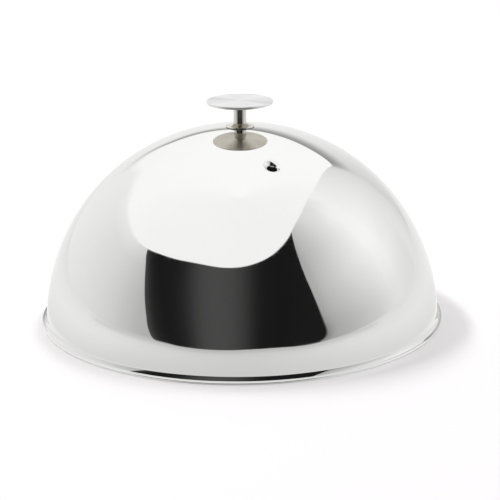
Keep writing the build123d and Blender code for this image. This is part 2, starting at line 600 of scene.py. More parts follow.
@dataclass(frozen=True)
class Vent:
    """Steam vent: a hole with its lip drawn inward, on an axis through the sphere's centre.

    Lengths are in millimetres and angles in degrees.
    """

    polar: float = 26.05
    azimuth: float = 20.5
    hole_radius: float = 3.2
    bend: float = 6.5
    slope: float = 57.0
    roll_start: float = 46.0
    roll_end: float = 73.0
    roll_bend: float = 3.5
    edge_ease: float = 0.1
    clear_polar: float = 4.3
    spoke_steps: int = 7
    bend_inner_points: int = 11
    bend_outer_points: int = 19
    roll_inner_points: int = 7
    roll_outer_points: int = 13

    def axis(self) -> Array:
        """Give the direction of the vent from the sphere's centre."""
        lean, turn = math.radians(self.polar), math.radians(self.azimuth)
        return np.array((math.sin(lean) * math.sin(turn), -math.sin(lean) * math.cos(turn), math.cos(lean)))

    def across(self) -> Array:
        """Give the level direction across the vent."""
        turn = math.radians(self.azimuth)
        return np.array((math.cos(turn), math.sin(turn), 0.0))

    def column_angle(self) -> float:
        """Give the vent's angle round the upright axis, in radians."""
        return math.radians(self.azimuth - 90.0)

    def middle(self, dome_radius: float) -> tuple[float, float]:
        """Give the bend's middle, as distances from the vent's axis and along it from the sphere's centre."""
        off = self.hole_radius + self.bend * math.sin(math.radians(self.slope))
        return off, math.sqrt((dome_radius - self.bend) ** 2 - off**2)

    def section(self, dome_radius: float, sheet: float) -> Section:
        """Walk down the lip's inner skin, up through the hole and out over the bend.

        Polishing has rolled the lip's last millimetre in a little tighter than the bend. The outline is in
        (distance from the vent's axis, distance along it from the sphere's centre).

        Args:
            dome_radius: Outer radius of the sphere.
            sheet: Thickness of the sheet.

        Returns:
            The lip's outline.
        """
        middle = np.array(self.middle(dome_radius))
        start = math.degrees(math.atan2(middle[1], middle[0]))
        leave, lean = math.radians(self.roll_start), math.radians(self.roll_end)
        roll = middle + (self.bend - self.roll_bend) * np.array((-math.sin(leave), math.cos(leave)))
        facing = np.array((-math.sin(lean), math.cos(lean)))
        inner_r, outer_r = self.roll_bend - sheet, self.roll_bend
        eased = math.degrees(2.0 * self.edge_ease / inner_r)
        turned, end = 90.0 + self.roll_start, 90.0 + self.roll_end - eased
        inner = Section.arc(roll, inner_r, np.linspace(turned, end, self.roll_inner_points))
        outer = Section.arc(roll, outer_r, np.linspace(end, turned, self.roll_outer_points))
        corners = (
            (*inner.points[-1], 0.0),
            (*(roll + inner_r * facing), self.edge_ease),
            (*(roll + outer_r * facing), self.edge_ease),
            (*outer.points[0], 0.0),
        )
        return Section.joined(
            Section.arc(middle, self.bend - sheet, np.linspace(start, turned, self.bend_inner_points)),
            inner,
            Section.eased(corners, closed=False),
            outer,
            Section.arc(middle, self.bend, np.linspace(turned, start, self.bend_outer_points)),
        )


@dataclass(frozen=True)
class MirrorSteel:
    """Spun stainless sheet: a mirror outside, fine spinning lines inside.

    Attributes:
        radius: Outer radius of the sphere in millimetres.
        drop: How far its centre is under the origin, in millimetres.
        sheet: Thickness of the sheet in millimetres.
        vent: The vent in it.
    """

    radius: float
    drop: float
    sheet: float
    vent: Vent
    clean: Colour = (0.801, 0.8, 0.788)
    wiped: Colour = (0.786, 0.785, 0.772)
    edge_tint: float = 0.92
    gloss: Span = (0.028, 0.05)
    satin: Span = (0.22, 0.34)
    haze_scale: float = 11.0
    line_density: float = 5200.0
    line_depth: float = 1.2e-6
    line_share: float = 0.6

    def material(self, effects: Effects) -> bpy.types.Material:
        """Fine lines and a satin gloss inside, a mirror outside.

        Args:
            effects: Shared shader groups.

        Returns:
            The material.
        """
        bench = Bench(Slot.POLISHED, effects)
        wires = bench.wires
        inside = self.inside(bench)
        cloud, speck = bench.haze(self.haze_scale)
        line, band = bench.lines(bench.reach_and_height()[1], self.line_density)
        outer = wires.scaled(wires.math("MULTIPLY", cloud, speck), *self.gloss)
        inner = wires.scaled(wires.blend(self.line_share, band, line), *self.satin)
        bench.bump(wires.math("MULTIPLY", line, inside), self.line_depth)
        bench.shader.inputs["Specular Tint"].default_value = (*(self.edge_tint,) * 3, 1.0)
        return bench.finish(wires.tint(cloud, self.clean, self.wiped), wires.blend(inside, outer, inner), 1.0)

    def inside(self, bench: Bench) -> bpy.types.NodeSocket:
        """Tell the inner skin.

        It is nearer the sphere's centre than mid-sheet and, in the vent's lip, nearer the bend's middle.

        Args:
            bench: The material at work.

        Returns:
            1 inside and 0 outside.
        """
        wires = bench.wires
        axis = tuple(float(part) for part in self.vent.axis())
        off, along = self.vent.middle(self.radius)
        mid_sheet = self.sheet / 2.0
        plugs = {0: bench.place, 1: (0.0, 0.0, -self.drop * MM)}
        offset = wires.add("ShaderNodeVectorMath", plugs, operation="SUBTRACT").outputs[0]
        reach = wires.add("ShaderNodeVectorMath", {0: offset}, operation="LENGTH").outputs["Value"]
        sphere = wires.math("LESS_THAN", reach, (self.radius - mid_sheet) * MM)
        aside = wires.add("ShaderNodeVectorMath", {0: offset, 1: axis}, operation="CROSS_PRODUCT").outputs[0]
        across = wires.add("ShaderNodeVectorMath", {0: aside}, operation="LENGTH").outputs["Value"]
        up = wires.add("ShaderNodeVectorMath", {0: offset, 1: axis}, operation="DOT_PRODUCT").outputs["Value"]
        level = wires.math("POWER", wires.math("SUBTRACT", across, off * MM), 2.0)
        rise = wires.math("POWER", wires.math("SUBTRACT", up, along * MM), 2.0)
        bend = wires.math("SQRT", wires.math("ADD", level, rise))
        lip = wires.math("LESS_THAN", bend, (self.vent.bend - mid_sheet) * MM)
        return wires.blend(wires.math("LESS_THAN", across, off * MM), sphere, lip)


@dataclass(frozen=True)
class TurnedSteel:
    """Turned and polished bar: faint tool lines round the axis."""

    clean: Colour = (0.63, 0.617, 0.562)
    dulled: Colour = (0.575, 0.562, 0.507)
    gloss: Span = (0.07, 0.11)
    haze_scale: float = 60.0
    line_density: float = 7000.0
    line_depth: float = 0.5e-6

    def material(self, effects: Effects) -> bpy.types.Material:
        """Lay the tool lines along the height.

        Args:
            effects: Shared shader groups.

        Returns:
            The material.
        """
        bench = Bench(Slot.TURNED, effects)
        wires = bench.wires
        cloud, _ = bench.haze(self.haze_scale)
        reach, height = bench.reach_and_height()
        line, band = bench.lines(wires.math("SUBTRACT", height, reach), self.line_density)
        bench.bump(line, self.line_depth)
        worn = wires.math("MULTIPLY", band, cloud)
        return bench.finish(wires.tint(worn, self.clean, self.dulled), wires.scaled(line, *self.gloss), 1.0)


@dataclass(frozen=True)
class SatinSteel:
    """Satin plate, ring-turned: fine rings round the middle and a warmer underside.

    Attributes:
        under_z: Height of the underside in millimetres.
        painted_light_rise: Rise above it from which the tone is the top's, and up to which it is the
            underside's painted warm light, in millimetres.
    """

    under_z: float
    top: Colour = (0.835, 0.835, 0.835)
    top_dulled: Colour = (0.8, 0.8, 0.797)
    # Painted light: the underside's warmer tone stands for the light the underside catches, not for a
    # different steel.
    under: Colour = (0.87, 0.82, 0.74)
    satin: Span = (0.35, 0.42)
    grain: float = 0.97
    grain_turn: float = 0.25
    painted_light_rise: Span = (0.78, 0.58)
    haze_scale: float = 45.0
    line_density: float = 4200.0
    line_depth: float = 1.5e-6

    def material(self, effects: Effects) -> bpy.types.Material:
        """Lay the rings by the distance from the axis, and the underside's painted warm light up to just
        above the underside.

        Args:
            effects: Shared shader groups.

        Returns:
            The material.
        """
        bench = Bench(Slot.SATIN, effects)
        wires = bench.wires
        cloud, _ = bench.haze(self.haze_scale)
        reach, height = bench.reach_and_height()
        line, band = bench.lines(reach, self.line_density)
        # Painted light: below these heights the plate takes the underside's warmer tone instead of the top's.
        cool, warm = ((self.under_z + rise) * MM for rise in self.painted_light_rise)
        below = wires.ramp(wires.math("MULTIPLY", height, -1.0), -cool, -warm)
        top = wires.tint(wires.math("MULTIPLY", cloud, band), self.top, self.top_dulled)
        tones = {0: below, 6: top, 7: (*self.under, 1.0)}
        colour = wires.add("ShaderNodeMix", tones, data_type="RGBA").outputs[2]
        bench.bump(line, self.line_depth)
        bench.shader.inputs["Anisotropic"].default_value = self.grain
        bench.shader.inputs["Anisotropic Rotation"].default_value = self.grain_turn
        along = wires.add("ShaderNodeTangent", direction_type="RADIAL", axis="Z").outputs[0]
        wires.feed(bench.shader.inputs["Tangent"], along)
        return bench.finish(colour, wires.scaled(line, *self.satin), 1.0)


@dataclass(frozen=True)
class FastenerSteel:
    """Plain bright fasteners with a little handling haze."""

    bright: Colour = (0.68, 0.68, 0.665)
    dull: Colour = (0.57, 0.57, 0.555)
    gloss: Span = (0.2, 0.34)
    haze_scale: float = 120.0
    speck_depth: float = 2e-6

    def material(self, effects: Effects) -> bpy.types.Material:
        """Cloud the colour and the gloss.

        Args:
            effects: Shared shader groups.

        Returns:
            The material.
        """
        bench = Bench(Slot.FASTENER, effects)
        wires = bench.wires
        cloud, speck = bench.haze(self.haze_scale)
        bench.bump(speck, self.speck_depth)
        return bench.finish(wires.tint(cloud, self.bright, self.dull), wires.scaled(cloud, *self.gloss), 1.0)


@dataclass(frozen=True)
class SealRubber:
    """Pale heat-proof silicone with a fine moulded grain."""

    deep: Colour = (0.5, 0.5, 0.485)
    bloom: Colour = (0.6, 0.6, 0.58)
    matt: Span = (0.5, 0.68)
    haze_scale: float = 150.0
    grain_depth: float = 8e-6

    def material(self, effects: Effects) -> bpy.types.Material:
        """Speck the colour and the grain.

        Args:
            effects: Shared shader groups.

        Returns:
            The material.
        """
        bench = Bench(Slot.SEAL, effects)
        wires = bench.wires
        cloud, speck = bench.haze(self.haze_scale)
        bench.bump(speck, self.grain_depth)
        return bench.finish(wires.tint(cloud, self.deep, self.bloom), wires.scaled(speck, *self.matt), 0.0)


class Finishes:
    """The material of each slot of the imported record."""

    def __init__(self, shell: "DomeShell", knob: "Knob") -> None:
        """Make every material once.

        Args:
            shell: The shell, whose sizes tell its two skins apart.
            knob: The knob, whose disc gets painted warm light on its underside.
        """
        effects = Effects()
        mirror = MirrorSteel(shell.radius, shell.drop, shell.sheet, shell.vent)
        self.by_slot: dict[Slot, bpy.types.Material] = {
            Slot.POLISHED: mirror.material(effects),
            Slot.TURNED: TurnedSteel().material(effects),
            Slot.SATIN: SatinSteel(knob.disc_z()).material(effects),
            Slot.FASTENER: FastenerSteel().material(effects),
            Slot.SEAL: SealRubber().material(effects),
        }

    def dress(self, piece: bpy.types.Object, node: str, slot: Slot) -> None:
        """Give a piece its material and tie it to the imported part.

        Args:
            piece: The new piece.
            node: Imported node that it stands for.
            slot: Its material slot.
        """
        piece.data.materials.append(self.by_slot[slot])
        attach(piece, BODY)
        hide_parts(node)
        LOG.info("%s stands for %s in %s, %d faces", piece.name, node, slot.value, len(piece.data.polygons))


@dataclass(frozen=True)
class DomeShell:
    """Spun sheet: spherical shell with a crown land, a turned-out brim with a folded hem, and the vent.

    Lengths are in millimetres and angles in degrees; lip_length is a UV length in metres. The two runs are
    the places of the outer and inner sphere in the outline.
    """

    radius: float = 150.0
    drop: float = 2.5
    sheet: float = 0.8
    brim_reach: float = 3.6
    flare_radius: float = 8.4
    flare_angle: float = 34.0
    brim_corner: float = 0.3
    hem_return: float = 3.2
    hem_round: float = 0.3
    seam_gap: float = 0.07
    seam_depth: float = 0.6
    land_radius: float = 12.0
    land_round: float = 6.0
    bolt_hole: float = 2.75
    vent: Vent = field(default_factory=Vent)
    columns: int = 256
    crown_steps: int = 26
    vent_steps: int = 18
    wall_steps: int = 80
    vent_columns: int = 7
    land_steps: int = 2
    land_points: int = 5
    flare_points: int = 15
    corner_points: int = 7
    edge_points: int = 17
    hem_points: int = 6
    bend_points: int = 13
    outer_run: int = 2
    inner_run: int = 14
    lip_length: float = 0.04

    def land_z(self) -> float:
        """Give the height of the crown land."""
        return math.sqrt(self.radius**2 - self.land_radius**2) - self.drop

    def corner(self) -> tuple[float, float]:
        """Place the brim corner's middle.

        Returns:
            Its reach and height.
        """
        lean = math.radians(self.flare_angle)
        inset = self.flare_radius - self.brim_corner
        reach, height, _ = self.flare()
        return reach - inset * math.cos(lean), height - inset * math.sin(lean)

    def flare(self) -> tuple[float, float, float]:
        """Place the flare, which touches the sphere and ends at the brim corner.

        Returns:
            Reach and height of its middle, and the elevation at which it leaves the sphere.
        """
        rise = (self.flare_radius - self.brim_corner) * math.sin(math.radians(self.flare_angle))
        height = 2.0 * self.sheet + self.brim_corner + rise
        reach = math.sqrt((self.radius + self.flare_radius) ** 2 - (height + self.drop) ** 2)
        return reach, height, math.degrees(math.atan2(height + self.drop, reach))

    def crown(self) -> tuple[float, float, float]:
        """Place the round between the crown land and the sphere.

        Returns:
            Reach and height of its middle, and the elevation at which it meets the sphere.
        """
        height = self.land_z() - self.land_round
        reach = math.sqrt((self.radius - self.land_round) ** 2 - (height + self.drop) ** 2)
        return reach, height, math.degrees(math.atan2(height + self.drop, reach))

    def elevations(self) -> Array:
        """Space the sphere's rows, closer together across the vent.

        Returns:
            The elevation of each row in degrees.
        """
        high = 90.0 - self.vent.polar + self.vent.clear_polar
        low = 90.0 - self.vent.polar - self.vent.clear_polar
        upper = np.linspace(self.crown()[2], high, self.crown_steps + 1)
        middle = np.linspace(high, low, self.vent_steps + 1)
        lower = np.linspace(low, self.flare()[2], self.wall_steps + 1)
        return np.concatenate((upper, middle[1:], lower[1:]))

    def runs(self) -> list[Section]:
        """Walk from the bolt hole over the crown, down the outside, under the hem and up the inside.

        Returns:
            The runs of the closed outline.
        """
        flare_r, flare_z, flare_start = self.flare()
        corner_r, corner_z = self.corner()
        crown_r, crown_z, crown_angle = self.crown()
        land_z, inner_z = self.land_z(), self.land_z() - self.sheet
        brim_z, sphere = 2.0 * self.sheet, (0.0, -self.drop)
        brim_r = self.radius + self.brim_reach
        hem_r, edge_r = brim_r - self.hem_return, brim_r - self.sheet
        start, turned = 180.0 + flare_start, 180.0 + self.flare_angle
        bend = self.flare_radius + self.sheet
        bend_angle = 180.0 + math.degrees(math.acos((flare_r - hem_r) / bend))
        bend_z = flare_z + bend * math.sin(math.radians(bend_angle))
        seam_low, seam_high = self.sheet - self.seam_gap, self.sheet + self.seam_gap
        seam = (hem_r + self.seam_depth, self.sheet)
        elevations = self.elevations()
        corner, crown, flare = (corner_r, corner_z), (crown_r, crown_z), (flare_r, flare_z)
        edge, hem = (edge_r, self.sheet), (hem_r + self.hem_round, self.hem_round)
        inner_round = self.land_round - self.sheet
        return [
            Section.line((self.bolt_hole, land_z), (crown_r, land_z), self.land_steps),
            Section.arc(crown, self.land_round, np.linspace(90.0, crown_angle, self.land_points)),
            Section.arc(sphere, self.radius, elevations),
            Section.arc(flare, self.flare_radius, np.linspace(start, turned, self.flare_points)),
            Section.arc(corner, self.brim_corner, np.linspace(turned, 270.0, self.corner_points)),
            Section.line((corner_r, brim_z), (edge_r, brim_z)),
            Section.arc(edge, self.sheet, np.linspace(90.0, -90.0, self.edge_points)),
            Section.line((edge_r, 0.0), (hem_r + self.hem_round, 0.0)),
            Section.arc(hem, self.hem_round, np.linspace(270.0, 180.0, self.hem_points)),
            Section.line((hem_r, self.hem_round), (hem_r, seam_low)),
            Section.line((hem_r, seam_low), seam),
            Section.line(seam, (hem_r, seam_high)),
            Section.line((hem_r, seam_high), (hem_r, bend_z)),
            Section.arc(flare, bend, np.linspace(bend_angle, start, self.bend_points)),
            Section.arc(sphere, self.radius - self.sheet, elevations[::-1]),
            Section.arc(crown, inner_round, np.linspace(crown_angle, 90.0, self.land_points)),
            Section.line((crown_r, inner_z), (self.bolt_hole, inner_z), self.land_steps),
            Section.line((self.bolt_hole, inner_z), (self.bolt_hole, land_z)),
        ]

    def skin(self) -> Skin:
        """Turn the outline, take out the cells round the vent in both skins and weave the lip in.

        Returns:
            The whole shell's skin.
        """
        runs = self.runs()
        firsts = np.cumsum([0] + [len(run.lead) for run in runs])
        outer, inner = int(firsts[self.outer_run]), int(firsts[self.inner_run])
        rows = len(self.elevations()) - 1
        turning = Turning(Section.joined(*runs), self.columns, self.vent.column_angle() + math.pi)
        ids = turning.ids()
        top, bottom = self.crown_steps, self.crown_steps + self.vent_steps
        near, far = self.columns // 2 - self.vent_columns, self.columns // 2 + self.vent_columns
        kept = np.ones((len(ids) - 1, self.columns), bool)
        kept[outer + top : outer + bottom, near:far] = False
        kept[inner + rows - bottom : inner + rows - top, near:far] = False
        wide, tall = far - near, bottom - top
        ring_row = np.concatenate(
            (np.full(wide, top), np.arange(top, bottom), np.full(wide, bottom), np.arange(bottom, top, -1))
        )
        ring_column = np.concatenate(
            (np.arange(far, near, -1), np.full(tall, near), np.arange(near, far), np.full(tall, far))
        )
        lift = np.radians(self.elevations()[ring_row])
        turn = turning.angles()[ring_column]
        rim = np.stack((np.cos(lift) * np.cos(turn), np.cos(lift) * np.sin(turn), np.sin(lift)), axis=1)
        body = turning.skin().only(kept.ravel())
        outer_ids = ids[outer + ring_row, ring_column]
        inner_ids = ids[inner + rows - ring_row, ring_column]
        return body.with_cells(self.lip(rim, outer_ids, inner_ids, body.points))

    def lip(self, rim: Array, outer_ids: Array, inner_ids: Array, points: Array) -> Skin:
        """Carry the vent's outline round its axis, with spokes on both spheres out to the rim of the gap.

        A spoke's point is the direction (1 - s) rim + s lip, made a unit long, times the sphere's radius.

        Args:
            rim: Directions of the gap's rim, anticlockwise as seen from outside.
            outer_ids: Point numbers of the rim on the outer skin.
            inner_ids: Point numbers of the rim on the inner skin.
            points: Points of the shell so far.

        Returns:
            The lip's skin over the shell's points and its own.
        """
        axis, across = self.vent.axis(), self.vent.across()
        upward = np.cross(axis, across)
        round_turn = np.arctan2(rim @ upward, rim @ across)
        outward = np.cos(round_turn)[:, None] * across + np.sin(round_turn)[:, None] * upward
        section = self.vent.section(self.radius, self.sheet)

        def carried(pairs: Array) -> Array:
            """Turn pairs of the section about the vent's axis."""
            return pairs[:, :1, None] * outward[None, :, :] + pairs[:, 1:, None] * axis

        places = carried(section.points)
        share = np.linspace(0.0, 1.0, self.vent.spoke_steps + 1)[:, None, None]
        lip_way = places[0] / np.linalg.norm(places[0], axis=1, keepdims=True)
        ways = (1.0 - share) * rim + share * lip_way
        ways /= np.linalg.norm(ways, axis=2, keepdims=True)
        inner, outer = -ways, ways[::-1]
        grid = np.concatenate(((self.radius - self.sheet) * ways, places[1:], self.radius * outer[1:]))
        lead = np.concatenate((inner[:-1], carried(section.lead), outer[:-1]))
        tail = np.concatenate((inner[1:], carried(section.tail), outer[1:]))
        ids = len(points) + np.arange(grid.shape[0] * grid.shape[1]).reshape(grid.shape[:2])
        ids[0], ids[-1] = inner_ids, outer_ids
        seamed = [np.concatenate((part, part[:, :1]), axis=1) for part in (ids, lead, tail)]
        centred = grid.reshape(-1, 3) - np.array((0.0, 0.0, self.drop))
        u, v = np.linspace(0.0, 1.0, len(rim) + 1), np.linspace(0.0, self.lip_length, len(grid))
        return Skin.over(np.concatenate((points, centred)), *seamed, u, v)

    def make(self, finishes: Finishes) -> None:
        """Build the shell and dress it."""
        finishes.dress(self.skin().piece("spun_dome", Shading.EXACT), "dome_shell", Slot.POLISHED)


@dataclass(frozen=True)
class Knob:
    """Lifting knob: seal, turned stem with a cone-shaped foot, satin disc and the stud that holds them.

    Lengths are in millimetres.
    """

    land_z: float
    columns: int = 128
    disc_columns: int = 256
    bore: float = 2.75
    edge_ease: float = 0.12
    gasket_radius: float = 10.4
    gasket_height: float = 0.3
    gasket_ease: float = 0.08
    foot_radius: float = 10.9
    foot_rim: float = 0.5
    foot_ease: float = 0.2
    cone_radius: float = 8.5
    cone_rise: float = 2.2
    stem_radius: float = 4.9
    stem_cove: float = 0.8
    stem_length: float = 17.7
    recess_radius: float = 3.5
    recess_depth: float = 1.25
    disc_radius: float = 25.0
    disc_height: float = 2.0
    disc_ease: float = 0.4
    stud_radius: float = 2.5
    flange_radius: float = 3.25
    flange_height: float = 1.0
    stud_length: float = 27.9
    thread_length: float = 15.0
    thread_pitch: float = 0.8
    thread_depth: float = 0.45
    thread_end: float = 0.6
    thread_columns: int = 48
    thread_rows: int = 180
    groove_steepness: float = 1.4
    crest_share: float = 0.2

    def foot_z(self) -> float:
        """Give the height of the foot's underside."""
        return self.land_z + self.gasket_height

    def disc_z(self) -> float:
        """Give the height of the disc's underside."""
        return self.foot_z() + self.stem_length

    def gasket(self) -> Section:
        """Walk the seal ring's four sides.

        Returns:
            The closed outline.
        """
        low, high, ease = self.land_z, self.foot_z(), self.gasket_ease
        return Section.eased(
            (
                (self.bore, high, ease),
                (self.gasket_radius, high, ease),
                (self.gasket_radius, low, ease),
                (self.bore, low, ease),
            ),
            closed=True,
        )

    def stem(self) -> Section:
        """Walk from the flange recess over the top, down stem and cone, under the foot and up the bore.

        Returns:
            The closed outline.
        """
        foot, top, ease = self.foot_z(), self.disc_z(), self.edge_ease
        rim, recess = foot + self.foot_rim, top - self.recess_depth
        return Section.eased(
            (
                (self.recess_radius, top, ease),
                (self.stem_radius, top, ease),
                (self.stem_radius, rim + self.cone_rise, self.stem_cove),
                (self.cone_radius, rim, ease),
                (self.foot_radius, rim, self.foot_ease),
                (self.foot_radius, foot, ease),
                (self.bore, foot, ease),
                (self.bore, recess, 0.0),
                (self.recess_radius, recess, 0.0),
            ),
            closed=True,
        )

    def disc(self) -> Section:
        """Walk from the middle of the top over the eased edge to the middle of the underside.

        Returns:
            The open outline.
        """
        low = self.disc_z()
        high = low + self.disc_height
        return Section.eased(
            (
                (0.0, high, 0.0),
                (self.disc_radius, high, self.disc_ease),
                (self.disc_radius, low, self.disc_ease),
                (0.0, low, 0.0),
            ),
            closed=False,
        )

    def stud(self) -> Skin:
        """Turn the stud, its thread a helix.

        In the thread, reach = radius - depth x (how far the height, less the turn's share of a pitch, is into
        the groove).

        Returns:
            The stud's skin.
        """
        top = self.disc_z()
        tip, under = top - self.stud_length, top - self.flange_height
        shank = Section.eased(
            (
                (0.0, top, 0.0),
                (self.flange_radius, top, self.edge_ease),
                (self.flange_radius, under, self.edge_ease),
                (self.stud_radius, under, 0.0),
                (self.stud_radius, tip + self.thread_length, 0.0),
            ),
            closed=False,
        )
        screw = Section.line(shank.points[-1], (self.stud_radius, tip), self.thread_rows)
        end = Section.line((self.stud_radius, tip), (0.0, tip))
        turning = Turning(Section.joined(shank, screw, end), self.thread_columns)
        skin = turning.skin()
        turn = np.arctan2(skin.points[:, 1], skin.points[:, 0])
        height = skin.points[:, 2]
        groove = np.abs((height / self.thread_pitch - turn / FULL_TURN) % 1.0 - 0.5) * 2.0
        into = np.clip((tip + self.thread_length - height) / self.thread_pitch, 0.0, 1.0)
        taper = np.clip((tip + self.thread_end - height) / self.thread_end, 0.0, 1.0)
        flank = np.clip(self.groove_steepness * groove - self.crest_share, 0.0, 1.0)
        fall = self.thread_depth * np.maximum(into * flank, taper)
        reach = np.linalg.norm(skin.points[:, :2], axis=1)
        share = np.where(reach > AXIS_REACH, (reach - fall) / np.maximum(reach, AXIS_REACH), 1.0)
        shaped = skin.points * np.stack((share, share, np.ones_like(share)), axis=1)
        return Skin(shaped, skin.corners, skin.normals, skin.spread)

    def make(self, finishes: Finishes) -> None:
        """Build the seal, stem, disc and stud and dress them.

        Args:
            finishes: The materials.
        """
        seal = Turning(self.gasket(), self.columns).skin().piece("seal_ring", Shading.EXACT)
        finishes.dress(seal, "foot_gasket", Slot.SEAL)
        stem = Turning(self.stem(), self.columns).skin().piece("turned_stem", Shading.EXACT)
        finishes.dress(stem, "knob_stem", Slot.TURNED)
        disc = Turning(self.disc(), self.disc_columns).skin().piece("satin_disc", Shading.EXACT)
        finishes.dress(disc, "knob_disc", Slot.SATIN)
        finishes.dress(self.stud().piece("threaded_stud", Shading.CRISP), "knob_stud", Slot.FASTENER)


@dataclass(frozen=True)
class Fastening:
    """Fasteners under the crown: wide washer, split spring washer and cap nut.

    Lengths are in millimetres and angles in degrees; the two girths are UV lengths in metres.
    """

    top_z: float
    columns: int = 96
    bore: float = 2.75
    thread_bore: float = 2.55
    washer_radius: float = 7.5
    washer_height: float = 1.2
    washer_ease: float = 0.2
    washer_top_ease: float = 0.05
    spring_radius: float = 4.6
    spring_height: float = 1.2
    spring_ease: float = 0.15
    split_width: float = 0.9
    split_slant: float = 20.0
    nut_flats: float = 8.0
    nut_sides: int = 6
    hex_height: float = 4.0
    hex_ring: float = 3.8
    cap_radius: float = 3.75
    nut_height: float = 10.0
    thread_deep: float = 7.5
    corner_angle: float = 30.0
    spring_steps: int = 3
    cap_points: int = 17
    spring_girth: float = 0.01
    nut_girth: float = 0.03

    def spring_top(self) -> float:
        """Give the height of the spring washer's top."""
        return self.top_z - self.washer_height

    def nut_top(self) -> float:
        """Give the height of the nut's top."""
        return self.spring_top() - self.spring_height

    def washer(self) -> Section:
        """Walk the wide washer's four sides.

        Returns:
            The closed outline.
        """
        high, low = self.top_z, self.spring_top()
        return Section.eased(
            (
                (self.bore, high, self.washer_top_ease),
                (self.washer_radius, high, self.washer_top_ease),
                (self.washer_radius, low, self.washer_ease),
                (self.bore, low, self.washer_ease),
            ),
            closed=True,
        )

    def spring(self) -> Skin:
        """Carry the spring washer's section round from one side of the split to the other.

        The split leans: a point at height h off the middle is turned by h tan(slant) / reach.

        Returns:
            The washer's skin with both ends closed.
        """
        high, low, ease = self.spring_top(), self.nut_top(), self.spring_ease
        ring = Section.eased(
            (
                (self.thread_bore, high, ease),
                (self.spring_radius, high, ease),
                (self.spring_radius, low, ease),
                (self.thread_bore, low, ease),
            ),
            closed=True,
            steps=self.spring_steps,
        ).points[:-1]
        reach, height = ring[:, :1], ring[:, 1:]
        lean = (height - (high + low) / 2.0) * math.tan(math.radians(self.split_slant)) / reach
        half = self.split_width / 2.0 / math.cos(math.radians(self.split_slant)) / reach
        share = np.linspace(0.0, 1.0, self.columns + 1)[None, :]
        turn = half - lean + share * (FULL_TURN - 2.0 * half)
        grid = np.stack(np.broadcast_arrays(reach * np.cos(turn), reach * np.sin(turn), height), axis=-1)
        rows, count = len(ring), self.columns + 1
        ids = np.arange(rows * count).reshape(rows, count)
        ids = np.concatenate((ids, ids[:1]), axis=0)
        ends = grid[:, [0, -1]].mean(axis=0)
        points = np.concatenate((grid.reshape(-1, 3), ends))
        zero = np.zeros((rows, count, 3))
        skin = Skin.over(points, ids, zero, zero, share[0], np.linspace(0.0, self.spring_girth, rows + 1))
        hub = np.full(rows, rows * count)
        first = np.stack((ids[1:, 0], ids[:-1, 0], hub, hub), axis=1)
        last = np.stack((ids[:-1, -1], ids[1:, -1], hub + 1, hub + 1), axis=1)
        caps = np.concatenate((first, last))
        blank = np.zeros((len(caps), 4, 3))
        return skin.with_cells(Skin(points, caps, blank, blank[..., :2]))

    def nut(self) -> Skin:
        """Stack rings up the nut: the hexagon's reach is (flats / 2) / cos(turn from the flat's middle).

        Where the corner cone meets the hexagon, the ring's height is top - (reach - ring) tan(corner angle).

        Returns:
            The nut's skin.
        """
        top = self.nut_top()
        low, tip = top - self.hex_height, top - self.nut_height
        turn = np.linspace(0.0, FULL_TURN, self.columns + 1)[:-1]
        sector = FULL_TURN / self.nut_sides
        hexagon = self.nut_flats / 2.0 / np.cos(turn % sector - sector / 2.0)
        fall = (hexagon - self.hex_ring) * math.tan(math.radians(self.corner_angle))
        bend = np.radians(np.linspace(0.0, 90.0, self.cap_points))
        cap_reach = np.append(self.cap_radius * np.cos(bend[:-1]), 0.0)
        cap_z = tip + self.cap_radius - self.cap_radius * np.sin(bend)
        hole = top - self.thread_deep
        bored = (0.0, self.thread_bore, self.thread_bore, self.hex_ring)
        reach = np.concatenate(
            (
                np.tile(np.array(bored)[:, None], len(turn)),
                hexagon[None, :],
                hexagon[None, :],
                np.tile(np.array((self.hex_ring, self.cap_radius))[:, None], len(turn)),
                np.tile(cap_reach[:, None], len(turn)),
            )
        )
        height = np.concatenate(
            (
                np.tile(np.array((hole, hole, top, top))[:, None], len(turn)),
                (top - fall)[None, :],
                (low + fall)[None, :],
                np.full((2, len(turn)), low),
                np.tile(cap_z[:, None], len(turn)),
            )
        )
        points = np.stack((reach * np.cos(turn), reach * np.sin(turn), height), axis=-1).reshape(-1, 3)
        ids = np.arange(reach.size).reshape(reach.shape)
        ids[0], ids[-1] = ids[0, 0], ids[-1, 0]
        ids = np.concatenate((ids, ids[:, :1]), axis=1)
        zero = np.zeros((len(ids) - 1, ids.shape[1], 3))
        u, v = np.linspace(0.0, 1.0, ids.shape[1]), np.linspace(0.0, self.nut_girth, len(ids))
        return Skin.over(points, ids, zero, zero, u, v)

    def make(self, finishes: Finishes) -> None:
        """Build the washers and the nut and dress them.

        Args:
            finishes: The materials.
        """
        washer = Turning(self.washer(), self.columns).skin().piece("crown_washer", Shading.EXACT)
        finishes.dress(washer, "inner_washer", Slot.FASTENER)
        finishes.dress(self.spring().piece("split_washer", Shading.CRISP), "lock_washer", Slot.FASTENER)
        finishes.dress(self.nut().piece("capped_nut", Shading.CRISP), "cap_nut", Slot.FASTENER)


